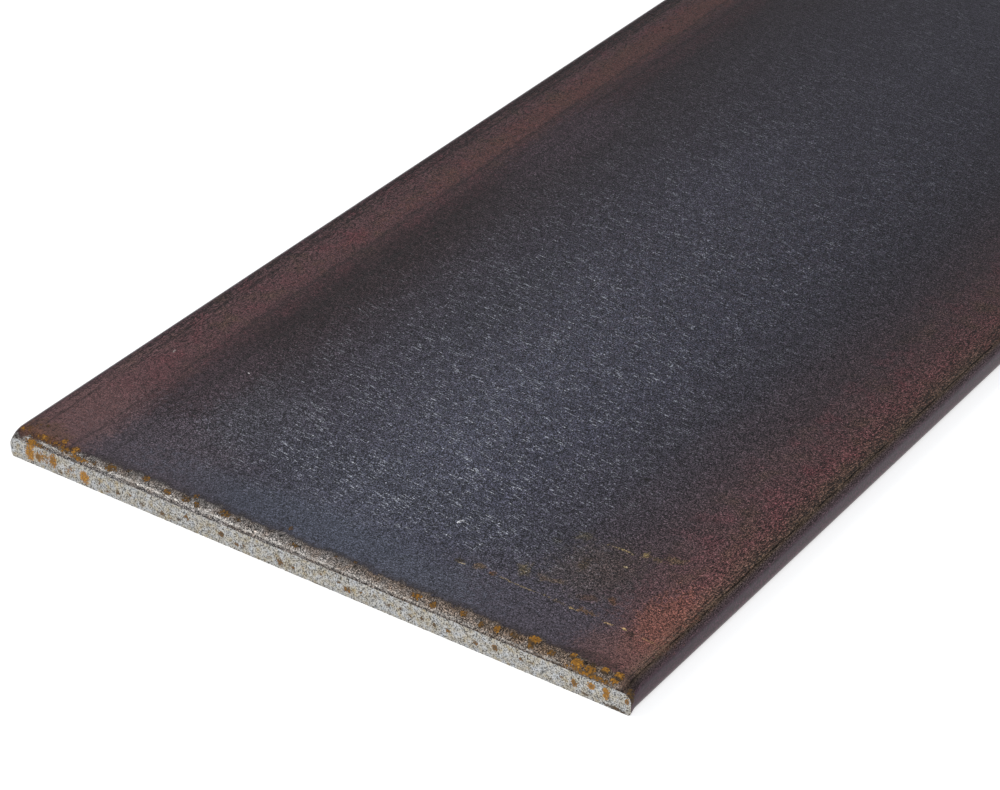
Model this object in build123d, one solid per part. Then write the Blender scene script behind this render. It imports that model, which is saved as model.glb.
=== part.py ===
# Hot-rolled steel plate: a length of wide flat stock, cut from the bar on a guillotine shear.
# The plate is one solid. Its section comes from the rolls, with flat faces, rounded corners
# and slightly crowned narrow edges. Each end is the cut that the shear blade leaves: the
# struck face is dragged down over the cut, and the steel tears at the other face.
#
# Frame: origin at the centre of the underside, +X along the length, +Y across the width
# and +Z up, in millimetres. The end in the photograph is the one at -X.
import os

from build123d import *

# Stock size: 6 in by 1/4 in flat, in a 36 in length
width = 152.4
thickness = 6.35
length = 914.4

# Rolled long edges
corner_radius = 1.8  # rounding of the four corners of the section
edge_crown = 0.1  # how far a narrow edge stands proud at mid-thickness

# Sheared ends, each measured from the plane of the cut
rollover_length = 3.6  # stretch of the struck face that the blade drags down
rollover_drop = 1.7  # how far that face has sunk where it meets the cut
tear_height = 1.1  # height of the torn zone at the other face
tear_setback = 0.2  # how far the torn zone falls back from the cut

overrun = 5.0  # reach of a cutting shape past the faces that it cuts

cut = length / 2  # each end's cut lies this far from the middle


def rolled_section():
    """The bar's section: flat faces, crowned narrow edges and rounded corners."""
    flat_half = width / 2 - edge_crown
    with BuildSketch(Plane.YZ) as section:
        with BuildLine():
            Line((-flat_half, 0), (flat_half, 0))
            ThreePointArc((flat_half, 0), (width / 2, thickness / 2), (flat_half, thickness))
            Line((flat_half, thickness), (-flat_half, thickness))
            ThreePointArc((-flat_half, thickness), (-width / 2, thickness / 2), (-flat_half, 0))
        make_face()
        fillet(section.vertices(), corner_radius)
    return section.sketch


def blade_push():
    """How the blade has pushed the section along the plate: down over the -X cut, up over the +X cut.

    Every cut strikes the same face of the bar. The length that stays on the bed is struck on its
    top face, and the length that drops off is drawn over the bed blade, on its underside.
    """
    bend = cut - rollover_length
    with BuildLine(Plane.XZ) as path:
        TangentArc((-bend, 0), (-cut, -rollover_drop), tangent=(-1, 0))
        Line((-bend, 0), (bend, 0))
        TangentArc((bend, 0), (cut, rollover_drop), tangent=(1, 0))
    return path.wire()


def torn_zone():
    """The wedge that tears away at the foot of the -X cut."""
    with BuildSketch(Plane.XZ) as wedge:
        with BuildLine():
            Polyline(
                (-cut, tear_height),
                (-cut + tear_setback, 0),
                (-cut + tear_setback, -overrun),
                (-cut - overrun, -overrun),
                (-cut - overrun, tear_height),
                close=True,
            )
        make_face()
    return extrude(wedge.sketch, amount=width / 2 + overrun, both=True)


def steel_plate():
    """The straight bar, kept where the pushed section covers it, with the torn zones taken off."""
    section = rolled_section()
    bar = extrude(section, amount=cut, both=True)
    pushed = sweep(Pos(-cut, 0, -rollover_drop) * section, path=blade_push(), normal=(1, 0, 0))
    near_tear = torn_zone()
    across_middle = Axis((0, 0, thickness / 2), (0, 1, 0))
    far_tear = near_tear.rotate(across_middle, 180)
    return (bar & pushed) - near_tear - far_tear


os.makedirs("parts", exist_ok=True)
export_step(steel_plate(), "parts/steel_plate.step")
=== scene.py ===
import math

import bmesh
import bpy
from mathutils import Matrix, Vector, noise


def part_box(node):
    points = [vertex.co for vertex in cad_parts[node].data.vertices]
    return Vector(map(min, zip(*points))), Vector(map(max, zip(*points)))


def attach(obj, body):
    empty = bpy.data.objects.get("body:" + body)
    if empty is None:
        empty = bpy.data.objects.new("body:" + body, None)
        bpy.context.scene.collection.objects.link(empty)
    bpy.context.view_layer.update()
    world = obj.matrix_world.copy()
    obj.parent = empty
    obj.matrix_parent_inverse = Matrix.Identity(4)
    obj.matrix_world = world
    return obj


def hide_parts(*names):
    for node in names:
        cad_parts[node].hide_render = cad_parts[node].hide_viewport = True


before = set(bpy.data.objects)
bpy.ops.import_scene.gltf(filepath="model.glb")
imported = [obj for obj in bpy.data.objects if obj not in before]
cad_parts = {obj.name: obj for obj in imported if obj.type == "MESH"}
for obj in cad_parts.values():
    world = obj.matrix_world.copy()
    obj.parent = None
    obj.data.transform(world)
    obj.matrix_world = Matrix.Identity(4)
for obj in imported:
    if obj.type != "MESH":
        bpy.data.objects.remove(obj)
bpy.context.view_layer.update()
low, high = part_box("steel_plate")
length, width, thickness = high - low
mm = 0.001
halfWidth = width / 2 / mm  # millimetres, for the finishes
print("frame loaded, plate", [round(side / mm, 2) for side in (length, width, thickness)], "mm")


# sRGB hex to linear
def hexColour(code):
    parts = [int(code[i:i + 2], 16) / 255 for i in (1, 3, 5)]
    return [p / 12.92 if p <= 0.04045 else ((p + 0.055) / 1.055) ** 2.4 for p in parts] + [1]


# Adds one node. Settings are its properties, input values, ramp stops, or the span of a map range: from, to
# and, where they aren't 0 and 1, what those two become. Links are its sources by input.
def addNode(tree, kind, settings={}, links={}):
    node = tree.nodes.new("ShaderNode" + kind)

    def findInput(name):
        if isinstance(name, int):
            return node.inputs[name]
        return next((s for s in node.inputs if s.enabled and s.name == name), None)

    for name, value in settings.items():
        if name == "stops":
            ramp = node.color_ramp.elements
            while len(ramp) < len(value):
                ramp.new(0.5)
            for stop, (place, code) in zip(ramp, value):
                stop.position = place
                stop.color = hexColour(code)
        elif name == "span":
            for end, number in zip(("From Min", "From Max", "To Min", "To Max"), value):
                findInput(end).default_value = number
        elif findInput(name):
            findInput(name).default_value = hexColour(value) if str(value)[0] == "#" else value
        else:
            setattr(node, name, value)
    for name, source in links.items():
        if not isinstance(source, bpy.types.NodeSocket):
            source = next(s for s in source.outputs if s.enabled)
        tree.links.new(source, findInput(name))
    return node


def newMaterial(name):
    material = bpy.data.materials.new(name)
    material.use_nodes = True
    tree = material.node_tree
    return material, tree, tree.nodes["Principled BSDF"]


def addPiece(name, bm, materials):
    mesh = bpy.data.meshes.new(name)
    bm.to_mesh(mesh)
    bm.free()
    for material in materials:
        mesh.materials.append(material)
    piece = bpy.data.objects.new(name, mesh)
    bpy.context.scene.collection.objects.link(piece)
    return piece


# Camera, as the photograph was taken

photoView = {
    "imageWidth": 1000,  # pixels
    "focalLength": 3162.4,  # pixels
    "pitch": math.radians(32.455),  # how far the camera looks down
    "heading": math.radians(34.837),  # how far it is turned from the plate's length
    "place": Vector((-2.55709, -2.08800, 2.37154)),  # in plate widths, from the foot of the near end
    "sensor": 36,  # millimetres
}


def makeCamera(view):
    camera = bpy.data.objects.new("photoCamera", bpy.data.cameras.new("photoCamera"))
    bpy.context.scene.collection.objects.link(camera)
    camera.data.sensor_fit = "HORIZONTAL"
    camera.data.sensor_width = view["sensor"]
    camera.data.lens = view["focalLength"] / view["imageWidth"] * view["sensor"]
    camera.location = Vector((low.x, 0, low.z)) + view["place"] * width
    level = math.cos(view["pitch"])
    aim = Vector((
        math.cos(view["heading"]) * level,
        math.sin(view["heading"]) * level,
        -math.sin(view["pitch"]),
    ))
    camera.rotation_euler = aim.to_track_quat("-Z", "Y").to_euler()
    bpy.context.scene.camera = camera


makeCamera(photoView)
print("camera placed")

# White floor, soft light from behind and above, and a low fill in front of the cut end

studio = {
    "floorSize": 30,  # metres, as are the lamps' places and sizes
    "floorGap": 0.02 * mm,  # keeps the floor clear of the plate's underside
    "floorColour": "#ebebeb",
    "floorRoughness": 0.9,
    "floorSpecular": 0.1,
    "floorLift": 0.56,  # own light of the floor, for the camera and for what mirrors it
    "floorLiftColour": "#ffffff",
    "worldColour": "#e9edf2",
    "worldLight": 0.46,
    "lamps": [
        # name, place, aims at, width, height, watts
        ("softboxBehind", (-0.15, 0.325, 0.49), (-0.42, 0, 0), 0.39, 0.29, 0.5),
        ("softboxAbove", (-0.75, 0.46, 0.71), (-0.42, 0, 0), 0.3, 0.3, 0.8),
        ("fillInFront", (-1.6, -0.5, 0.7), (-0.45, 0, 0), 0.9, 0.6, 10),
    ],
}


def makeStudio(look):
    bm = bmesh.new()
    bmesh.ops.create_grid(bm, x_segments=1, y_segments=1, size=look["floorSize"] / 2)
    bmesh.ops.translate(bm, vec=(0, 0, low.z - look["floorGap"]), verts=bm.verts)
    material, tree, surface = newMaterial("matt white paper")
    surface.inputs["Base Color"].default_value = hexColour(look["floorColour"])
    surface.inputs["Roughness"].default_value = look["floorRoughness"]
    surface.inputs["Specular IOR Level"].default_value = look["floorSpecular"]
    surface.inputs["Emission Color"].default_value = hexColour(look["floorLiftColour"])
    rays = addNode(tree, "LightPath")
    seen = addNode(tree, "Math", {"operation": "MAXIMUM"},
                   {0: rays.outputs["Is Camera Ray"], 1: rays.outputs["Is Glossy Ray"]})
    seen = addNode(tree, "Math", {"operation": "MAXIMUM"},
                   {0: seen, 1: rays.outputs["Is Transmission Ray"]})
    lift = addNode(tree, "Math", {"operation": "MULTIPLY", 1: look["floorLift"]}, {0: seen})
    tree.links.new(lift.outputs[0], surface.inputs["Emission Strength"])
    addPiece("floor", bm, [material])

    world = bpy.data.worlds.new("studio")
    bpy.context.scene.world = world
    world.use_nodes = True
    background = world.node_tree.nodes["Background"]
    background.inputs["Color"].default_value = hexColour(look["worldColour"])
    background.inputs["Strength"].default_value = look["worldLight"]

    for name, place, target, lampWidth, lampHeight, watts in look["lamps"]:
        lamp = bpy.data.objects.new(name, bpy.data.lights.new(name, "AREA"))
        bpy.context.scene.collection.objects.link(lamp)
        lamp.data.shape = "RECTANGLE"
        lamp.data.size = lampWidth
        lamp.data.size_y = lampHeight
        lamp.data.energy = watts
        lamp.location = place
        lamp.rotation_euler = (Vector(target) - Vector(place)).to_track_quat("-Z", "Y").to_euler()


makeStudio(studio)
print("studio lit")

# The plate's own mesh: the CAD form with the relief of the shear cut

plateShape = {
    "cornerRadius": 1.8 * mm,  # rounding of the long edges
    "cornerSteps": 6,
    "edgeCrown": 0.1 * mm,  # how far a narrow edge stands proud at mid-thickness
    "edgeWander": 0.03 * mm,  # unevenness of the rolled long edges
    "edgeWave": 18 * mm,
    "rolloverLength": 3.6 * mm,  # stretch of the struck face that the blade drags down
    "rolloverDrop": 1.7 * mm,
    "rolloverWander": 0.1,  # share by which the drop varies along the cut
    "rolloverWave": 5 * mm,
    "tearHeight": 1.1 * mm,  # torn zone at the other face
    "tearSetback": 0.2 * mm,
    "burrFill": 1.1 * mm,  # how far the burr fills out the rounded corners at the foot of the cut
    "burrReach": 1.8 * mm,
    "burrHeight": 0.3 * mm,
    "grainDepth": 0.14 * mm,  # relief of the cut face
    "grainSize": 0.9 * mm,
    "cutReach": 1 * mm,  # how far behind the cut its relief dies out
    "acrossCell": 0.45 * mm,
    "firstStep": 0.15 * mm,  # spacing of the mesh at the cut, growing inwards
    "stepGrowth": 1.16,
    "middleStep": 20 * mm,
    "planeReach": 1e-3 * mm,  # points this close to the plane of a new loop count as on it
    "rustReach": 8 * mm,  # how far behind the cut the mesh carries the rust spots
    # Rust that can be told apart on the near end, with a few dark spots among it that are painted shadows and
    # painted shade, in millimetres: place across from the middle of the width, height on the cut face or
    # distance behind the cut, half width, half height, tone from brown 0 to orange 1, cover
    "faceRustAndShade": [
        (70.8, 2.6, 1.1, 1.9, 0.95, 1), (68.5, 2.4, 0.7, 1.2, 0.7, 0.9), (70.4, 4.6, 1.2, 0.6, 0.9, 0.9),
        (64.4, 3.0, 1.0, 1.7, 0.8, 0.9), (56.0, 2.1, 1.1, 1.5, 1.0, 1), (62.6, 1.0, 0.7, 0.6, 0.2, 0.7),
        (61.0, 1.3, 0.6, 0.5, 0.3, 0.6), (74.8, 1.3, 0.8, 0.5, 0.1, 0.6), (47.1, 1.9, 0.6, 0.7, 0.2, 0.8),
        (49.9, 1.0, 0.8, 0.5, 0.4, 0.6), (52.0, 2.4, 0.5, 0.5, 0.2, 0.6), (40.7, 1.6, 0.8, 0.7, 0.2, 0.6),
        (43.8, 2.6, 0.5, 0.5, 0.3, 0.6), (35.5, 1.3, 0.8, 0.7, 0.4, 0.8), (31.4, 1.6, 0.6, 0.5, 0.0, 0.7),
        (29.1, 2.9, 0.8, 0.9, 0.4, 0.7), (33.2, 0.8, 0.6, 0.4, 0.2, 0.6), (20.2, 2.3, 0.7, 0.7, 0.3, 0.9),
        (16.4, 1.5, 0.8, 0.6, 0.4, 0.7), (14.6, 1.7, 0.6, 0.5, 0.2, 0.7), (11.7, 3.1, 0.4, 0.4, 0.1, 0.6),
        (8.2, 1.7, 0.6, 0.4, 0.3, 0.6), (5.5, 1.5, 0.8, 1.0, 0.4, 0.9), (2.3, 1.6, 0.5, 0.7, 0.3, 0.8),
        (-4.5, 2.9, 0.6, 0.5, 0.4, 0.6), (-9.0, 2.8, 0.6, 0.5, 0.2, 0.7), (-11.0, 1.8, 1.0, 0.8, 0.4, 0.8),
        (-14.3, 2.5, 0.6, 0.5, 0.2, 0.6), (-17.6, 2.9, 0.5, 0.4, 0.1, 0.7), (-20.8, 2.2, 0.9, 0.5, 0.3, 0.7),
        (-23.8, 2.6, 0.4, 0.4, 0.2, 0.8), (-25.9, 1.7, 0.5, 0.5, 0.2, 0.8), (-28.8, 2.3, 0.5, 0.5, 0.2, 0.8),
        (-31.7, 2.1, 0.5, 0.5, 0.2, 0.8), (-34.9, 2.1, 0.6, 0.6, 0.5, 0.8), (-41.3, 2.0, 0.7, 0.7, 0.4, 0.7),
        (-45.8, 2.6, 0.8, 0.9, 0.4, 0.8), (-51.7, 2.6, 0.7, 0.6, 0.3, 0.6), (-54.0, 2.7, 0.5, 0.5, 0.3, 0.7),
        (-60.9, 2.4, 0.6, 0.5, 0.5, 0.6), (-63.7, 2.3, 0.8, 0.9, 0.6, 0.8), (-67.4, 3.3, 0.8, 0.8, 0.9, 1),
        # The dark spot at -73.0 across, low on the cut face, is painted shade along the foot of the rounded
        # corner
        (-70.7, 3.0, 0.7, 1.4, 0.9, 1), (-75.4, 3.1, 0.6, 0.8, 0.6, 0.8), (-73.0, 0.3, 3.0, 0.5, 0.0, 0.7),
        (-66.0, 0.8, 1.4, 0.5, 0.1, 0.6), (67.0, 2.8, 3.2, 2.0, 0.7, 0.5), (60.0, 2.4, 2.4, 1.6, 0.6, 0.44),
    ],
    "stripRustAndShadows": [
        (73.0, 2.8, 2.0, 2.0, 0.5, 0.4), (70.4, 0.5, 1.2, 0.6, 0.8, 0.8), (68.4, 2.4, 0.8, 0.5, 0.9, 0.9),
        (67.0, 2.2, 2.4, 1.4, 0.4, 0.4), (63.7, 3.2, 0.7, 1.0, 0.8, 0.9), (62.0, 1.4, 2.0, 0.9, 0.6, 0.6),
        (59.9, 2.2, 1.0, 0.9, 0.9, 0.9), (58.0, 0.9, 2.6, 0.5, 0.7, 0.7), (54.2, 1.2, 1.6, 0.7, 0.4, 0.5),
        (50.0, 1.7, 1.8, 0.9, 0.4, 0.7), (46.0, 2.6, 0.8, 0.7, 0.3, 0.48), (41.3, 2.5, 1.0, 0.9, 0.6, 0.72),
        (35.1, 1.5, 1.1, 0.8, 0.5, 0.72), (30.4, 1.8, 1.2, 0.9, 0.3, 0.64), (29.0, 3.2, 0.8, 0.8, 0.5, 0.64),
        (27.5, 1.4, 0.9, 0.8, 0.4, 0.64), (20.8, 2.1, 1.5, 0.8, 0.4, 0.8), (17.3, 1.8, 1.0, 0.7, 0.2, 0.56),
        (6.6, 5.1, 0.6, 0.8, 0.5, 0.64), (2.9, 1.5, 1.4, 0.6, 0.4, 0.56), (-6.4, 2.7, 0.9, 0.5, 0.3, 0.48),
        (-10.6, 3.3, 0.8, 0.5, 0.3, 0.64), (-26.6, 1.5, 1.5, 0.8, 0.7, 0.64),
        (-30.7, 1.3, 0.9, 0.7, 0.5, 0.72), (-37.3, 1.8, 0.9, 0.8, 0.6, 0.64),
        (-41.8, 1.3, 0.9, 0.7, 0.4, 0.64), (-45.3, 1.6, 0.9, 0.7, 0.8, 0.8),
        (-49.0, 1.8, 1.4, 0.7, 0.3, 0.56), (-53.1, 2.7, 1.2, 0.8, 0.9, 1),
        (-53.1, 1.1, 0.7, 0.5, 0.6, 0.9), (-57.6, 1.5, 1.0, 0.6, 0.5, 0.8), (-61.8, 2.8, 0.6, 0.5, 1.0, 1),
        (-63.4, 1.5, 1.3, 0.8, 0.9, 1), (-66.4, 1.5, 1.2, 0.6, 0.7, 0.9), (-69.0, 2.4, 0.8, 0.6, 1.0, 1),
        (-72.0, 2.5, 0.9, 0.7, 1.0, 1), (-71.7, 1.2, 0.9, 0.5, 0.8, 0.9), (-67.0, 0.5, 5.5, 0.4, 0.7, 0.8),
        # Dark spots of tone 0 just on the cut's side of the blisters, at -61.8, -69.0, -72.3 and -53.1
        # across, are painted shadows of the blisters
        (-66.3, 2.5, 0.5, 0.5, 0.0, 0.9), (-61.8, 2.1, 0.7, 0.3, 0.0, 0.9), (-69.0, 1.75, 0.9, 0.3, 0.0, 0.9),
        (-72.3, 1.8, 0.9, 0.3, 0.0, 0.9), (-53.1, 1.8, 1.1, 0.3, 0.0, 0.8), (-75.7, 0.5, 0.7, 0.9, 0.1, 0.9),
        (74.2, 2.4, 0.9, 1.2, 0.8, 0.5), (72.0, 5.0, 0.8, 1.2, 0.7, 0.4), (70.3, 5.6, 0.5, 0.5, 0.0, 0.8),
        (66.4, 3.6, 0.5, 0.5, 0.0, 0.7), (73.4, 4.2, 0.5, 0.4, 0.0, 0.7), (69.0, 0.4, 5.0, 0.5, 0.6, 0.5),
        (66.5, 1.9, 6.5, 1.3, 0.75, 0.45),
    ],
    "spotFull": 1 / 3,  # share of its half size within which a spot is whole
    "spotGone": 5 / 3,  # share beyond which nothing of it is left
    # Rust on the strip that stands up as blisters: place across, distance from the cut, half width, rise
    "blisters": [
        (59.9, 2.1, 0.9, 0.20), (-45.3, 1.6, 0.9, 0.3), (-53.1, 2.6, 1.2, 0.2), (-61.8, 2.7, 0.7, 0.15),
        (-63.4, 1.5, 1.3, 0.35), (-69.0, 2.3, 0.9, 0.2), (-72.0, 2.4, 1.0, 0.2),
    ],
}


def clamp(value):
    return max(0.0, min(1.0, value))


# Smooth noise from 0 to 1, each octave twice as fine as the one before
def unevenness(*place):
    smoothness = 0.8
    finer = 2.0
    octaves = 3
    swing = 0.6
    return clamp(0.5 + swing * noise.fractal(Vector(place), smoothness, finer, octaves))


def spotStrength(shape, spot, across, along):
    centreAcross, centreAlong, halfBreadth, halfHeight, tone, cover = spot
    reach = math.hypot((across - centreAcross) / halfBreadth, (along - centreAlong) / halfHeight)
    return clamp((shape["spotGone"] - reach) / (shape["spotGone"] - shape["spotFull"])) * cover, tone


def blisterRise(blister, across, along):
    centreAcross, centreAlong, half, rise = blister
    reach = math.hypot(across - centreAcross, along - centreAlong) / half
    return rise * math.sqrt(clamp(1 - reach ** 2))


def makePlate(shape, materials):
    bm = bmesh.new()
    bmesh.ops.create_cube(bm, size=1)
    bmesh.ops.scale(bm, vec=(length, width, thickness), verts=bm.verts)
    bmesh.ops.translate(bm, vec=(low + high) / 2, verts=bm.verts)
    longEdges = [e for e in bm.edges if abs(e.verts[0].co.x - e.verts[1].co.x) > width]
    bmesh.ops.bevel(bm, geom=longEdges, offset=shape["cornerRadius"], affect="EDGES",
                    segments=shape["cornerSteps"], profile=0.5, material=-1)

    # Loops through the thickness, then along the length, close together at the cuts
    heights = sorted({round(v.co.z, 7) for v in bm.verts})
    radius = shape["cornerRadius"]
    flank = thickness - 2 * radius
    cells = round(flank / shape["acrossCell"])
    heights += [radius + flank * i / cells for i in range(1, cells)]
    step = shape["firstStep"]
    reach = step
    stations = []
    while reach < length / 2:
        stations += [low.x + reach, high.x - reach]
        step = min(step * shape["stepGrowth"], shape["middleStep"])
        reach += step
    for axis, places in ((Vector((0, 0, 1)), heights), (Vector((1, 0, 0)), stations)):
        for place in places:
            bmesh.ops.bisect_plane(bm, geom=[*bm.verts, *bm.edges, *bm.faces], dist=shape["planeReach"],
                                   plane_co=axis * place, plane_no=axis)
    acrossEdges = [e for e in bm.edges if abs(e.verts[0].co.y - e.verts[1].co.y) > width / 2]
    bmesh.ops.subdivide_edges(bm, edges=acrossEdges, cuts=round(width / shape["acrossCell"]))

    # Faces of the two cuts take the second material
    for face in bm.faces:
        face.smooth = True
        face.material_index = round(abs(face.normal.x))

    fromCut = bm.verts.layers.float.new("fromCut")
    rust = bm.verts.layers.float.new("rust")
    rustTone = bm.verts.layers.float.new("rustTone")
    arc = (shape["rolloverLength"] ** 2 + shape["rolloverDrop"] ** 2) / (2 * shape["rolloverDrop"])
    outOfReach = 2 * shape["rustReach"]  # added to the distance from the cut on all other faces
    for v in bm.verts:
        near = v.co.x < 0
        inwards = 1 if near else -1
        behind = v.co.x - low.x if near else high.x - v.co.x
        across = v.co.y
        side = math.copysign(1, across)
        rise = v.co.z - low.z if near else high.z - v.co.z  # height over the face that isn't struck

        # Burr: the foot's rounded corners are drawn out sharp beside the cut
        flankShare = clamp((abs(across) - (width / 2 - radius)) / radius)
        if flankShare > 0 and rise < radius:
            burr = shape["burrFill"] * clamp(1 - behind / shape["burrReach"])
            across += side * burr * (1 - flankShare)
            rise -= burr * rise / radius

        # Rolled narrow edges: a slight crown and a long wave, both inside the stock width
        crown = shape["edgeCrown"] * (2 * rise / thickness - 1) ** 2
        wander = shape["edgeWander"] * unevenness(v.co.x / shape["edgeWave"], side, 0)
        v.co.y = across - side * flankShare * (crown + wander)

        # Rollover: the struck half sinks along an arc, and rust blisters stand up from it
        struck = clamp((rise - radius) / flank)
        back = max(0.0, shape["rolloverLength"] - behind)
        sink = arc - math.sqrt(arc ** 2 - back ** 2)
        sink *= 1 - shape["rolloverWander"] * unevenness(across / shape["rolloverWave"], inwards, 0)
        if near:
            blister = max(blisterRise(b, across / mm, behind / mm) for b in shape["blisters"])
            sink -= min(sink, mm * blister)
        newRise = rise - sink * struck
        v.co.z = low.z + newRise if near else high.z - newRise

        # Cut face: torn back at the foot, with the grain of the break
        torn = clamp(1 - rise / shape["tearHeight"]) * clamp(rise / shape["burrHeight"])
        grain = unevenness(across / shape["grainSize"], newRise / shape["grainSize"], inwards)
        relief = shape["tearSetback"] * torn + shape["grainDepth"] * grain
        v.co.x += inwards * relief * clamp(1 - behind / shape["cutReach"])

        # What the finishes read: distance from the cut on the struck face, and the rust spots with their few
        # painted shadows
        onStruckFace = clamp((rise - (thickness - radius)) / (radius / 2))
        v[fromCut] = (behind + outOfReach * (1 - onStruckFace)) / mm
        onFace = behind < shape["firstStep"] / 2
        if near and behind < shape["rustReach"] and (onFace or rise > thickness / 2):
            along = newRise if onFace else behind
            spots = shape["faceRustAndShade"] if onFace else shape["stripRustAndShadows"]
            v[rust], v[rustTone] = max(spotStrength(shape, s, across / mm, along / mm) for s in spots)
    bmesh.ops.recalc_face_normals(bm, faces=bm.faces)
    print("plate mesh", len(bm.faces), "faces")

    plate = addPiece("steelPlate", bm, materials)
    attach(plate, "root")
    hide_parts("steel_plate")


noiseSpan = (0.3, 0.7)  # most of a noise lies between these

# Rust: dry iron oxide, from dark brown crust to orange powder, with no shine of its own. It follows the
# spots that the plate's mesh carries, a few of them painted shadows in its darkest brown, with ragged edges.
# Gives where it lies and its colour.

rustLook = {
    "grain": 0.45,  # millimetres, as are the sizes in all the finishes
    "ragged": 0.6,  # share by which the grain makes a spot stronger or weaker
    "edge": (0.32, 0.6),  # strength at which a spot sets in, and at which it covers
    "toneShare": 0.55,  # how much of the tone is the spot's own
    "grainTone": (-0.1, 0.45),  # what the grain adds to it
    "tones": [
        (0.0, "#271e15"), (0.25, "#45331d"), (0.5, "#6e4d1b"), (0.75, "#a16c18"), (1.0, "#e3ab48"),
    ],
    "rise": 0.15,
    "roughness": 0.85,
    "metallic": 0.0,
}


def addRust(tree, place, look):
    grain = addNode(tree, "TexNoise", {"Scale": 1 / look["grain"], "Detail": 3.0, "Roughness": 0.7},
                    {"Vector": place})
    spots = addNode(tree, "Attribute", {"attribute_name": "rust"}).outputs["Fac"]
    tone = addNode(tree, "Attribute", {"attribute_name": "rustTone"}).outputs["Fac"]
    edge = addNode(tree, "MapRange", {"span": (*noiseSpan, 1 - look["ragged"], 1 + look["ragged"])},
                   {"Value": grain})
    depth = addNode(tree, "Math", {"operation": "MULTIPLY"}, {0: spots, 1: edge})
    mask = addNode(tree, "MapRange", {"interpolation_type": "SMOOTHSTEP", "span": look["edge"]},
                   {"Value": depth})
    shade = addNode(tree, "MapRange", {"span": (*noiseSpan, *look["grainTone"])}, {"Value": grain})
    shade = addNode(tree, "Math", {"operation": "MULTIPLY_ADD", 1: look["toneShare"]}, {0: tone, 2: shade})
    colour = addNode(tree, "ValToRGB", {"stops": look["tones"]}, {"Fac": shade})
    return mask, colour


# Hot-rolled mill scale: a thin blue-grey oxide skin, half dull and half metallic, finely rippled by
# the rolls. It turns red-brown along the edges, which cooled first, and flakes off where the shear bent it.

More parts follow.
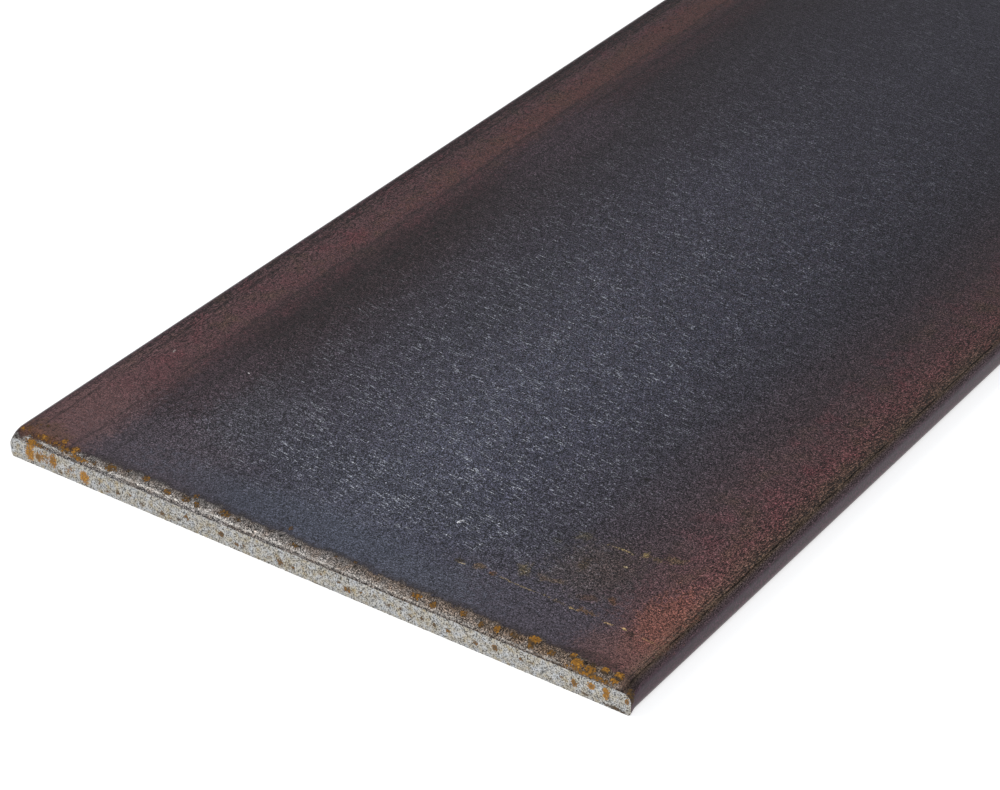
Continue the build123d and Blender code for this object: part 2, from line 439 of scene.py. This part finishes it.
millScale = {
    "roughness": 0.32,
    "metallic": 0.85,

    # Where things lie: millimetres in from the nearer long edge or on from the near end, from and to
    "onTop": (0.8, 2),  # in from the edge: the flat face starts
    "pastCut": (8, 24),  # on from the end: the skin is smoother before
    "beyondCut": (20, 50, 0.2, 1.0),  # on from the end: share of the patches and specks

    # Heat tint, and a lighter middle that is partly the skin's own colour and partly painted sheen
    "acrossBands": [
        # millimetres from the middle of the width, colour
        (-76.2, "#2a0e22"), (-75.9, "#6a5764"), (-75.4, "#706059"), (-74.8, "#6f5c4c"), (-73.2, "#7b5b50"),
        (-70.5, "#7b5150"), (-66, "#694a4b"), (-58, "#4e3f43"), (-42, "#3e3a43"), (-22, "#444451"),
        (0, "#4c4d5a"), (22, "#42404b"), (42, "#3b3339"), (55, "#392b2f"), (64, "#634547"), (69, "#6a4a4c"),
        (73, "#6b4f50"), (76.2, "#3a2135"),
    ],
    "drift": (60, 10, 20),  # size of the unevenness of the tint along, across and through the plate
    "driftBy": 3.0,
    "driftFrom": (2, 16),  # in from the edge, which stays even
    "flankColour": "#41202b",  # foot of the narrow edges
    "flankFace": (0.5, 0.2),  # in from the edge
    "flankFoot": (4.2, 1.5),  # height
    "patch": 7,
    "patches": [(0.52, 0.68, "#7a3f45"), (0.48, 0.32, "#5f4d38")],  # noise from, to, colour
    "patchStrength": 0.5,
    "patchBand": (24, 10),  # in from the edge

    # Marks: middle from the near end and across, half length, half width, strength, colour
    "stains": [
        # The first of these darkens the middle of the plate further from the cut
        (330, 0, 230, 55, 0.6, "#413842"), (100, 53, 50, 8, 0.5, "#332626"), (8, 47, 20, 20, 0.8, "#544b53"),
        (8, -46, 18, 22, 0.75, "#4f4a54"), (9, 5, 6, 40, 0.4, "#4d5360"), (12, 67, 16, 9, 0.6, "#735452"),
        (3, 70, 4, 8, 0.8, "#664a3f"), (1.5, 70, 1.2, 7, 0.8, "#775241"), (19, -69.5, 13, 5, 0.65, "#8b5849"),
        (8, -67, 7, 7, 0.6, "#6f514d"), (3.6, -64, 0.9, 8, 0.5, "#3a2a24"), (28, 0, 8, 40, 0.5, "#43444e"),
        (260, 74.5, 160, 3, 0.7, "#3c2325"), (250, 64.5, 130, 4, 0.55, "#754a3f"),
        (240, 56, 120, 4, 0.5, "#4f3539"), (172, 53, 24, 7, 0.6, "#51434c"), (40, 52, 14, 6, 0.5, "#51434a"),
        (33, 37, 14, 10, 0.4, "#504f57"), (100, 22, 25, 8, 0.4, "#38373e"), (6, -24, 5, 14, 0.5, "#52545f"),
        (177, 10, 25, 8, 0.5, "#4b4856"), (20.2, -39, 1.6, 1.6, 0.8, "#5e533e"),
        (20.5, -44.5, 1, 3, 0.7, "#5d4b3b"), (28, -46.8, 2.2, 1.2, 0.8, "#43362a"),
        (21.2, -58.2, 0.9, 1.2, 0.7, "#6e4a2f"), (19, -53.8, 1.4, 2, 0.7, "#5c4339"),
        (38.7, -61, 1.6, 2, 0.6, "#665338"), (37, -42, 1.6, 1.6, 0.6, "#58503d"),
        (31.7, -38.7, 1.2, 1.1, 0.9, "#2b2622"), (15.8, -26, 0.9, 1.3, 1, "#372f28"),
        (15.2, -31.3, 0.9, 1.6, 0.7, "#6a5439"), (14.5, -35.5, 0.7, 0.8, 0.9, "#5d3f27"),
        (59.5, -42, 0.8, 0.8, 1, "#231f20"), (28, -50, 10, 9, 0.35, "#54483b"),
        (31.7, -54, 0.5, 0.5, 1, "#c0ab84"), (14.8, -27.2, 0.4, 0.7, 0.9, "#a99a7c"),
        (25.5, -20, 0.4, 0.4, 1, "#b9b9bd"), (43.7, 68, 0.35, 0.35, 1, "#b9a9a4"),
        (45, 49, 0.4, 0.4, 1, "#a9a3a2"),
    ],
    "trails": [
        (15, -41.5, 0.22, 4.8, 0.6, "#93805c"), (14.6, -49.8, 0.4, 1.8, 0.5, "#6d5c47"),
        (14.7, -53.3, 0.25, 0.9, 0.8, "#b99d6c"), (15.3, -56, 0.6, 2, 0.6, "#795a38"),
        (14.6, -61.3, 0.18, 1.2, 0.7, "#a98c62"), (14.6, -64.8, 0.3, 0.6, 0.9, "#c6a572"),
        (14, -66.7, 0.5, 0.9, 0.8, "#2b2019"), (14.4, -70.8, 0.2, 2.4, 0.5, "#a07c58"),
        (36.2, -51, 0.25, 2.2, 0.7, "#a08c62"), (37.4, -55.4, 0.8, 0.7, 0.7, "#a8905f"),
        (37, -58, 0.6, 2, 0.5, "#6f5a3c"),
    ],
    "streaks": [
        (150, 61.2, 150, 0.5, 0.5, "#2d2526"), (95, 53.3, 88, 0.6, 0.5, "#2b2526"),
        (260, 57.5, 120, 0.5, 0.5, "#2b2224"), (180, 71.5, 185, 0.35, 0.6, "#221b1b"),
        (180, 73.6, 185, 0.3, 0.5, "#221b1b"), (180, -74.7, 190, 0.16, 0.9, "#1c1715"),
        (25, -73.9, 40, 0.12, 0.7, "#241e1a"), (20, -73.2, 32, 0.1, 0.6, "#2a221d"),
    ],
    "stainFray": 1.1,  # size of the raggedness of a stain
    "trailFray": 0.8,
    "streakFray": (5, 0.5, 1),
    "frayBy": {"stains": 0.7, "trails": 1.0, "streaks": 1.6},  # share of a mark's half size
    "bend": 8,  # size of the bends in an outline
    "stainBend": (8, 4, 0),  # how far they go along and across
    "trailBend": (2, 2, 0),
    "markDepth": 2,  # how far a mark goes down the edges
    "markEdge": (1.3, 0.5),  # share of its half size at which a mark sets in, and at which it covers

    # Ripple of the rolls, with painted glints: a light colour on its ridges that stands in for light caught
    # by them
    "ripple": (0.2, 2.2, 0.6),  # size of a ripple along, across and through the plate
    "rippleTurn": math.radians(-8),
    "rippleDepth": 0.09,
    "glintColour": "#a4a7ae",
    "glint": (0.72, 0.79),  # ripple's noise at which a painted glint sets in, and at which it is full
    "glintPatch": 7,  # size of the places where painted glints crowd together
    "glintCrowding": 0.2,  # what such a place adds to the ripple's noise
    "glintMiddle": (22, 54, 0, 0.75),  # in from the edge: how bright the painted glints are
    "glintFade": (60, 250, 1.0, 0.35),  # on from the end: the painted glints fade along the plate

    # Grain of the oxide, drawn coarser than it is, to show, and so that the top face cuts its noise
    # where it is strongest
    "grain": 0.223,
    "grainGain": 1.8,  # keeps the mean brightness about as it is without the grain
    "grainContrast": (2.0, 3.4),  # beside the cut and further in
    "edgeGrain": (0.75, 0.45),  # share of that contrast along one long edge and the other
    "edgeGrainFrom": (26, 12, 1.0),  # in from the edge
    "grainFade": (150, 330, 1.0, 0.4),  # on from the end

    # Dark specks
    "speckColour": "#1f1918",
    "speck": (0.9, 0.35, 0.5),  # size along, across and through the plate
    "speckEdge": (18, 2, 0, 0.155),  # in from the edge: how much thicker they lie
    "speckMask": (0.64, 0.7, 0, 0.8),  # noise from and to: cover
    "speckDepth": 0.06,

    # Bare strip beside the cut
    "flake": 3.0,  # size of the raggedness of its border
    "stripBorder": (50, 68, 3.0, 1.0),  # place across, from and to: how wide the strip is
    "bare": (-0.4, 0.5),  # millimetres inside the border
    "flakeDepth": 0.08,
    "fringe": (-1.9, -0.3, 0, 0.5),  # burnt border of the skin along the strip
    "fringeColour": "#2f2827",
    "cornerSkin": (2, 4),  # in from the edge at -Y, where the skin has stayed on
    "stripReach": 6,  # millimetres from the cut that the bands cover
    "stripBandsAndShade": [
        # millimetres from the cut, colour; the dark dip from 0.15 to 0.42 is painted shade where the rollover
        # turns down, the lighter band about 0.6 is painted highlight, the rest is the bare metal's own colour
        (0.0, "#b0aba7"), (0.15, "#8e8986"), (0.25, "#767270"), (0.42, "#7c7774"), (0.6, "#96918d"),
        (1.1, "#87837f"), (1.8, "#77726f"), (2.6, "#66615e"), (3.4, "#524d4c"), (6.0, "#4d4746"),
    ],
    "stripJitter": (0.2, 0.8, -0.22, 0.22),  # how far the grain shifts the bands
    "stripShift": (40, -30, 0, 0.45),  # place across, from and to: how much nearer the cut the bands lie
    "stripBrown": "#715d4c",
    "browner": (5, -50, 0.15, 0.65),  # place across, from and to: how brown the strip is
    "flakeBrown": -0.5,  # less so where the border's noise makes it wider
    "sparkle": 0.25,  # size of the painted sparkle: sparse bright glints of the bare metal
    "sparkleGain": 1.87,
    "sparkleContrast": 2.6,
    "highlightColour": "#e2dcd5",
    "highlightAt": 0.87,  # where the rollover turns down to the cut: a painted highlight line
    "highlightEdge": (0.17, 0.05),  # millimetres off that line
    "highlightGaps": (0.42, 0.58),  # noise from and to: where the painted highlight is broken, and where it is whole
    "highlightStrength": (-10, 45, 0.65, 0.8),  # place across, from and to: how bright it is

    "plainEdge": (1.5, 0.3, 1.0, 0.2),  # in from the edge: share of the relief
}


# Nodes that say where on the plate a point lies, in millimetres
def addPlaces(tree, look):
    objectPlace = addNode(tree, "TexCoord").outputs["Object"]
    place = addNode(tree, "VectorMath", {"operation": "SCALE", "Scale": 1 / mm}, {0: objectPlace})
    axes = addNode(tree, "SeparateXYZ", {}, {"Vector": place}).outputs
    offMiddle = addNode(tree, "Math", {"operation": "ABSOLUTE"}, {0: axes["Y"]})
    inFromEdge = addNode(tree, "Math", {"operation": "SUBTRACT", 0: halfWidth}, {1: offMiddle})
    fromEnd = addNode(tree, "Math", {"operation": "SUBTRACT", 1: low.x / mm}, {0: axes["X"]})
    return {
        "place": place,
        "across": axes["Y"],
        "up": axes["Z"],
        "inFromEdge": inFromEdge,
        "fromEnd": fromEnd,
        "onTop": addNode(tree, "MapRange", {"span": look["onTop"]}, {"Value": inFromEdge}),
        "pastCut": addNode(tree, "MapRange", {"span": look["pastCut"]}, {"Value": fromEnd}),
        "beyondCut": addNode(tree, "MapRange", {"span": look["beyondCut"]}, {"Value": fromEnd}),
    }


# Bands across the width, with a lighter middle that is partly painted sheen, a little uneven except right at
# the long edges
def addHeatTint(tree, where, look):
    drift = addNode(tree, "Mapping", {"vector_type": "TEXTURE", "Scale": look["drift"]},
                    {"Vector": where["place"]})
    drift = addNode(tree, "TexNoise", {"Scale": 1.0, "Detail": 6.0, "Roughness": 0.7}, {"Vector": drift})
    drift = addNode(tree, "MapRange", {"span": (*noiseSpan, -look["driftBy"], look["driftBy"])},
                    {"Value": drift})
    loose = addNode(tree, "MapRange", {"span": look["driftFrom"]}, {"Value": where["inFromEdge"]})
    tintAt = addNode(tree, "Math", {"operation": "MULTIPLY_ADD"}, {0: drift, 1: loose, 2: where["across"]})
    tintAt = addNode(tree, "MapRange", {"span": (-halfWidth, halfWidth)}, {"Value": tintAt})
    # The lighter middle of these bands is partly painted sheen
    bands = [(0.5 + at / halfWidth / 2, code) for at, code in look["acrossBands"]]
    colour = addNode(tree, "ValToRGB", {"stops": bands}, {"Fac": tintAt})

    # Foot of the narrow edges
    flank = addNode(tree, "MapRange", {"span": look["flankFace"]}, {"Value": where["inFromEdge"]})
    foot = addNode(tree, "MapRange", {"span": look["flankFoot"]}, {"Value": where["up"]})
    flank = addNode(tree, "Math", {"operation": "MULTIPLY"}, {0: flank, 1: foot})
    colour = addNode(tree, "Mix", {"data_type": "RGBA", "B": look["flankColour"]},
                     {"Factor": flank, "A": colour})

    # Patches of a purer red and of olive in the edge bands
    patchy = addNode(tree, "TexNoise", {"Scale": 1 / look["patch"], "Detail": 4.0, "Roughness": 0.6},
                     {"Vector": where["place"]})
    inBands = addNode(tree, "MapRange", {"span": look["patchBand"]}, {"Value": where["inFromEdge"]})
    inBands = addNode(tree, "Math", {"operation": "MULTIPLY"}, {0: inBands, 1: where["beyondCut"]})
    inBands = addNode(tree, "Math", {"operation": "MULTIPLY"}, {0: inBands, 1: where["onTop"]})
    for least, most, code in look["patches"]:
        amount = addNode(tree, "MapRange", {"span": (least, most, 0, look["patchStrength"])},
                         {"Value": patchy})
        amount = addNode(tree, "Math", {"operation": "MULTIPLY"}, {0: amount, 1: inBands})
        colour = addNode(tree, "Mix", {"data_type": "RGBA", "B": code}, {"Factor": amount, "A": colour})
    return colour


# Stains with wandering, frayed outlines, trails of drops, and straight streaks from the rolls
def addMarks(tree, where, look, colour):
    place = where["place"]
    frayed = addNode(tree, "TexNoise", {"Scale": 1 / look["stainFray"], "Detail": 5.0, "Roughness": 0.7},
                     {"Vector": place})
    gapped = addNode(tree, "TexNoise", {"Scale": 1 / look["trailFray"], "Detail": 3.0, "Roughness": 0.6},
                     {"Vector": place})
    drawnOut = addNode(tree, "Mapping", {"vector_type": "TEXTURE", "Scale": look["streakFray"]},
                       {"Vector": place})
    drawnOut = addNode(tree, "TexNoise", {"Scale": 1.0, "Detail": 3.0, "Roughness": 0.7},
                       {"Vector": drawnOut})
    bend = addNode(tree, "TexNoise", {"Scale": 1 / look["bend"], "Detail": 2.0}, {"Vector": place})
    bend = addNode(tree, "VectorMath", {"operation": "SUBTRACT", 1: (0.5, 0.5, 0.5)},
                   {0: bend.outputs["Color"]})
    bent = addNode(tree, "VectorMath", {"operation": "MULTIPLY_ADD", 1: look["stainBend"]},
                   {0: bend, 2: place})
    slightlyBent = addNode(tree, "VectorMath", {"operation": "MULTIPLY_ADD", 1: look["trailBend"]},
                           {0: bend, 2: place})
    for kind, outline, ragged in (
        ("stains", bent, frayed),
        ("trails", slightlyBent, gapped),
        ("streaks", place, drawnOut),
    ):
        frayBy = look["frayBy"][kind]
        fray = addNode(tree, "MapRange", {"span": (*noiseSpan, frayBy, -frayBy)}, {"Value": ragged})
        for fromEnd, across, halfLength, halfBreadth, strength, code in look[kind]:
            middle = (low.x / mm + fromEnd, across, thickness / mm)
            halfSize = (halfLength, halfBreadth, look["markDepth"])
            fitted = {"vector_type": "TEXTURE", "Location": middle, "Scale": halfSize}
            reach = addNode(tree, "Mapping", fitted, {"Vector": outline})
            reach = addNode(tree, "VectorMath", {"operation": "LENGTH"}, {0: reach})
            reach = addNode(tree, "Math", {"operation": "ADD"}, {0: reach, 1: fray})
            span = (*look["markEdge"], 0, strength)
            cover = addNode(tree, "MapRange", {"interpolation_type": "SMOOTHSTEP", "span": span},
                            {"Value": reach})
            colour = addNode(tree, "Mix", {"data_type": "RGBA", "B": code}, {"Factor": cover, "A": colour})
    return colour, frayed, bent


# Ripple of the rolled skin, drawn out across the width, with painted glints on its ridges; smoother beside
# the cut
def addCrests(tree, where, look, colour):
    turn = (0, 0, look["rippleTurn"])
    ripple = addNode(tree, "Mapping", {"vector_type": "TEXTURE", "Scale": look["ripple"], "Rotation": turn},
                     {"Vector": where["place"]})
    ripple = addNode(tree, "TexNoise", {"Scale": 1.0, "Detail": 1.0, "Roughness": 0.5}, {"Vector": ripple})
    crowded = addNode(tree, "TexNoise", {"Scale": 1 / look["glintPatch"], "Detail": 3.0},
                      {"Vector": where["place"]})
    glintStrength = addNode(tree, "MapRange", {"span": look["glintMiddle"]}, {"Value": where["inFromEdge"]})
    glintStrength = addNode(tree, "Math", {"operation": "MULTIPLY"}, {0: glintStrength, 1: where["pastCut"]})
    sparser = addNode(tree, "MapRange", {"span": look["glintFade"]}, {"Value": where["fromEnd"]})
    glintStrength = addNode(tree, "Math", {"operation": "MULTIPLY"}, {0: glintStrength, 1: sparser})
    glint = addNode(tree, "Math", {"operation": "MULTIPLY_ADD", 1: look["glintCrowding"]},
                    {0: crowded, 2: ripple})
    glint = addNode(tree, "MapRange", {"interpolation_type": "SMOOTHSTEP", "span": look["glint"]},
                    {"Value": glint})
    glint = addNode(tree, "Math", {"operation": "MULTIPLY"}, {0: glint, 1: glintStrength})
    # Painted glints: a light colour laid on the ripple's ridges
    colour = addNode(tree, "Mix", {"data_type": "RGBA", "B": look["glintColour"]},
                     {"Factor": glint, "A": colour})
    return colour, ripple


# Grain of the oxide, softer along the long edges and beside the cut
def addGrain(tree, where, look, colour):
    grain = addNode(tree, "TexNoise", {"Scale": 1 / look["grain"], "Detail": 0.0}, {"Vector": where["place"]})
    contrast = addNode(tree, "MapRange", {"span": (0, 1, *look["grainContrast"])},
                       {"Value": where["pastCut"]})
    atEdge = addNode(tree, "MapRange", {"span": (-halfWidth, halfWidth, *look["edgeGrain"])},
                     {"Value": where["across"]})
    softer = addNode(tree, "MapRange", {"span": look["edgeGrainFrom"]},
                     {"Value": where["inFromEdge"], "To Max": atEdge})
    contrast = addNode(tree, "Math", {"operation": "MULTIPLY"}, {0: contrast, 1: softer})
    calmer = addNode(tree, "MapRange", {"span": look["grainFade"]}, {"Value": where["fromEnd"]})
    contrast = addNode(tree, "Math", {"operation": "MULTIPLY"}, {0: contrast, 1: calmer})
    gain = addNode(tree, "Math", {"operation": "MULTIPLY", 1: look["grainGain"]}, {0: grain})
    gain = addNode(tree, "Math", {"operation": "POWER"}, {0: gain, 1: contrast})
    colour = addNode(tree, "VectorMath", {"operation": "SCALE"}, {0: colour, "Scale": gain})
    return colour, grain


# Dark specks, thickest beside the long edges
def addSpecks(tree, where, look, colour):
    speck = addNode(tree, "Mapping", {"vector_type": "TEXTURE", "Scale": look["speck"]},
                    {"Vector": where["place"]})
    speck = addNode(tree, "TexNoise", {"Scale": 1.0, "Detail": 3.0, "Roughness": 0.6}, {"Vector": speck})
    thicker = addNode(tree, "MapRange", {"span": look["speckEdge"]}, {"Value": where["inFromEdge"]})
    thicker = addNode(tree, "Math", {"operation": "MULTIPLY"}, {0: thicker, 1: where["beyondCut"]})
    speck = addNode(tree, "Math", {"operation": "ADD"}, {0: speck, 1: thicker})
    speck = addNode(tree, "Math", {"operation": "MULTIPLY"}, {0: speck, 1: where["onTop"]})
    speck = addNode(tree, "MapRange", {"interpolation_type": "SMOOTHSTEP", "span": look["speckMask"]},
                    {"Value": speck})
    colour = addNode(tree, "Mix", {"data_type": "RGBA", "B": look["speckColour"]},
                     {"Factor": speck, "A": colour})
    return colour, speck


# Colour of the bare metal beside the cut: bands along it, browner to one side, with a painted dark line and a
# painted highlight line where the rollover turns down to the cut
def addStripColour(tree, where, look, fromCut, flake, grain, frayed, bent):
    jitter = addNode(tree, "MapRange", {"span": look["stripJitter"]}, {"Value": grain})
    stripAt = addNode(tree, "Math", {"operation": "ADD"}, {0: fromCut, 1: jitter})
    shift = addNode(tree, "MapRange", {"span": look["stripShift"]}, {"Value": where["across"]})
    stripAt = addNode(tree, "Math", {"operation": "ADD"}, {0: stripAt, 1: shift})
    share = addNode(tree, "Math", {"operation": "DIVIDE", 1: look["stripReach"]}, {0: stripAt})
    # Bands of the bare metal, with painted shade and painted highlight in them
    bands = [(at / look["stripReach"], code) for at, code in look["stripBandsAndShade"]]
    strip = addNode(tree, "ValToRGB", {"stops": bands}, {"Fac": share})
    browner = addNode(tree, "MapRange", {"span": look["browner"]}, {"Value": where["across"]})
    brown = addNode(tree, "Math", {"operation": "MULTIPLY_ADD", 1: look["flakeBrown"], "use_clamp": True},
                    {0: flake, 2: browner})
    strip = addNode(tree, "Mix", {"data_type": "RGBA", "B": look["stripBrown"]},
                    {"Factor": brown, "A": strip})
    # Painted sparkle: the bare metal's grain drawn as sparse bright glints
    sparkle = addNode(tree, "TexNoise", {"Scale": 1 / look["sparkle"], "Detail": 0.0}, {"Vector": bent})
    sparkle = addNode(tree, "Math", {"operation": "MULTIPLY", 1: look["sparkleGain"]}, {0: sparkle})
    sparkle = addNode(tree, "Math", {"operation": "POWER", 1: look["sparkleContrast"]}, {0: sparkle})
    strip = addNode(tree, "VectorMath", {"operation": "SCALE"}, {0: strip, "Scale": sparkle})
    # Painted highlight: a light line along the rollover where it turns down to the cut
    highlight = addNode(tree, "Math", {"operation": "SUBTRACT", 1: look["highlightAt"]}, {0: stripAt})
    highlight = addNode(tree, "Math", {"operation": "ABSOLUTE"}, {0: highlight})
    highlight = addNode(tree, "MapRange", {"interpolation_type": "SMOOTHSTEP", "span": look["highlightEdge"]},
                  {"Value": highlight})
    highlightGaps = addNode(tree, "MapRange", {"span": look["highlightGaps"]}, {"Value": frayed})
    highlight = addNode(tree, "Math", {"operation": "MULTIPLY"}, {0: highlight, 1: highlightGaps})
    highlightStrength = addNode(tree, "MapRange", {"span": look["highlightStrength"]}, {"Value": where["across"]})
    highlight = addNode(tree, "Math", {"operation": "MULTIPLY"}, {0: highlight, 1: highlightStrength})
    return addNode(tree, "Mix", {"data_type": "RGBA", "B": look["highlightColour"]}, {"Factor": highlight, "A": strip})


# Bare strip beside the cut, where the skin has flaked off along a ragged border
def addBareStrip(tree, where, look, colour, grain, frayed, bent):
    fromCut = addNode(tree, "Attribute", {"attribute_name": "fromCut"}).outputs["Fac"]
    flake = addNode(tree, "TexNoise", {"Scale": 1 / look["flake"], "Detail": 5.0, "Roughness": 0.7},
                    {"Vector": where["place"]})
    flake = addNode(tree, "MapRange", {"span": (*noiseSpan, -1, 1)}, {"Value": flake})
    border = addNode(tree, "MapRange", {"span": look["stripBorder"]}, {"Value": where["across"]})
    border = addNode(tree, "Math", {"operation": "ADD"}, {0: border, 1: flake})
    inside = addNode(tree, "Math", {"operation": "SUBTRACT"}, {0: border, 1: fromCut})
    fringe = addNode(tree, "MapRange", {"interpolation_type": "SMOOTHSTEP", "span": look["fringe"]},
                     {"Value": inside})
    colour = addNode(tree, "Mix", {"data_type": "RGBA", "B": look["fringeColour"]},
                     {"Factor": fringe, "A": colour})
    bare = addNode(tree, "MapRange", {"interpolation_type": "SMOOTHSTEP", "span": look["bare"]},
                   {"Value": inside})
    fromSide = addNode(tree, "Math", {"operation": "ADD", 1: halfWidth}, {0: where["across"]})
    corner = addNode(tree, "MapRange", {"span": look["cornerSkin"]}, {"Value": fromSide})
    bare = addNode(tree, "Math", {"operation": "MULTIPLY"}, {0: bare, 1: corner})
    strip = addStripColour(tree, where, look, fromCut, flake, grain, frayed, bent)
    colour = addNode(tree, "Mix", {"data_type": "RGBA"}, {"Factor": bare, "A": colour, "B": strip})
    return colour, bare


def makeMillScale(look):
    material, tree, surface = newMaterial("hot-rolled mill scale")
    where = addPlaces(tree, look)
    colour = addHeatTint(tree, where, look)
    colour, frayed, bent = addMarks(tree, where, look, colour)
    colour, ripple = addCrests(tree, where, look, colour)
    colour, grain = addGrain(tree, where, look, colour)
    colour, specks = addSpecks(tree, where, look, colour)
    colour, bare = addBareStrip(tree, where, look, colour, grain, frayed, bent)
    rust, rustColour = addRust(tree, where["place"], rustLook)
    colour = addNode(tree, "Mix", {"data_type": "RGBA"}, {"Factor": rust, "A": colour, "B": rustColour})

    # Relief, in millimetres
    height = addNode(tree, "Math", {"operation": "MULTIPLY", 1: look["rippleDepth"]}, {0: ripple})
    for mask, rise in ((specks, -look["speckDepth"]), (bare, -look["flakeDepth"]), (rust, rustLook["rise"])):
        height = addNode(tree, "Math", {"operation": "MULTIPLY_ADD", 1: rise}, {0: mask, 2: height})
    plain = addNode(tree, "MapRange", {"span": look["plainEdge"]}, {"Value": where["inFromEdge"]})
    height = addNode(tree, "Math", {"operation": "MULTIPLY"}, {0: height, 1: plain})
    bump = addNode(tree, "Bump", {"Distance": mm}, {"Height": height})
    shine = addNode(tree, "MapRange", {"span": (0, 1, look["roughness"], rustLook["roughness"])},
                    {"Value": rust})
    metal = addNode(tree, "MapRange", {"span": (0, 1, look["metallic"], rustLook["metallic"])},
                    {"Value": rust})

    tree.links.new(colour.outputs[2], surface.inputs["Base Color"])
    tree.links.new(shine.outputs[0], surface.inputs["Roughness"])
    tree.links.new(metal.outputs[0], surface.inputs["Metallic"])
    tree.links.new(bump.outputs["Normal"], surface.inputs["Normal"])
    return material


# Sheared carbon steel: bright metal broken across its grain, so pale and dull, with dark specks and
# the first rust in its hollows.

shearedSteel = {
    "roughness": 0.6,
    "metallic": 0.7,
    "coolColour": "#b8babd",
    "warmColour": "#b0a795",
    "warm": (0.35, 0.65),  # stain's noise, from and to
    "grain": 0.25,
    "grainGain": (0.22, 0.58, 0.2, 1.27),  # grain's noise, from and to: brightness
    "grainDepth": 0.12,
    "speckColour": "#41382f",
    "speck": 0.36,
    "speckMask": (0.4, 0.33, 0, 0.9),  # noise from and to: cover
    "stainColour": "#9f8a5e",
    "stain": 1.5,
    "stainMask": (0.58, 0.72, 0, 0.7),  # stain's noise, from and to: cover
}


def makeShearedSteel(look):
    material, tree, surface = newMaterial("sheared carbon steel")
    objectPlace = addNode(tree, "TexCoord").outputs["Object"]
    place = addNode(tree, "VectorMath", {"operation": "SCALE", "Scale": 1 / mm}, {0: objectPlace})
    stain = addNode(tree, "TexNoise", {"Scale": 1 / look["stain"], "Detail": 4.0, "Roughness": 0.7},
                    {"Vector": place})
    warm = addNode(tree, "MapRange", {"span": look["warm"]}, {"Value": stain})
    colour = addNode(tree, "Mix", {"data_type": "RGBA", "A": look["coolColour"], "B": look["warmColour"]},
                     {"Factor": warm})
    grain = addNode(tree, "TexNoise", {"Scale": 1 / look["grain"], "Detail": 0.0}, {"Vector": place})
    gain = addNode(tree, "MapRange", {"span": look["grainGain"]}, {"Value": grain})
    colour = addNode(tree, "VectorMath", {"operation": "SCALE"}, {0: colour, "Scale": gain})
    ochre = addNode(tree, "MapRange", {"interpolation_type": "SMOOTHSTEP", "span": look["stainMask"]},
                    {"Value": stain})
    colour = addNode(tree, "Mix", {"data_type": "RGBA", "B": look["stainColour"]},
                     {"Factor": ochre, "A": colour})
    speck = addNode(tree, "TexNoise", {"Scale": 1 / look["speck"], "Detail": 1.0, "Roughness": 0.5},
                    {"Vector": place})
    speck = addNode(tree, "MapRange", {"interpolation_type": "SMOOTHSTEP", "span": look["speckMask"]},
                    {"Value": speck})
    colour = addNode(tree, "Mix", {"data_type": "RGBA", "B": look["speckColour"]},
                     {"Factor": speck, "A": colour})
    rust, rustColour = addRust(tree, place, rustLook)
    colour = addNode(tree, "Mix", {"data_type": "RGBA"}, {"Factor": rust, "A": colour, "B": rustColour})
    height = addNode(tree, "Math", {"operation": "MULTIPLY", 1: look["grainDepth"]}, {0: grain})
    bump = addNode(tree, "Bump", {"Distance": mm}, {"Height": height})
    metal = addNode(tree, "MapRange", {"span": (0, 1, look["metallic"], rustLook["metallic"])},
                    {"Value": rust})
    tree.links.new(colour.outputs[2], surface.inputs["Base Color"])
    tree.links.new(metal.outputs[0], surface.inputs["Metallic"])
    tree.links.new(bump.outputs["Normal"], surface.inputs["Normal"])
    surface.inputs["Roughness"].default_value = look["roughness"]
    return material


finishes = [makeMillScale(millScale), makeShearedSteel(shearedSteel)]
print("finishes made:", ", ".join(finish.name for finish in finishes))
makePlate(plateShape, finishes)

bpy.context.scene.view_settings.view_transform = "Standard"
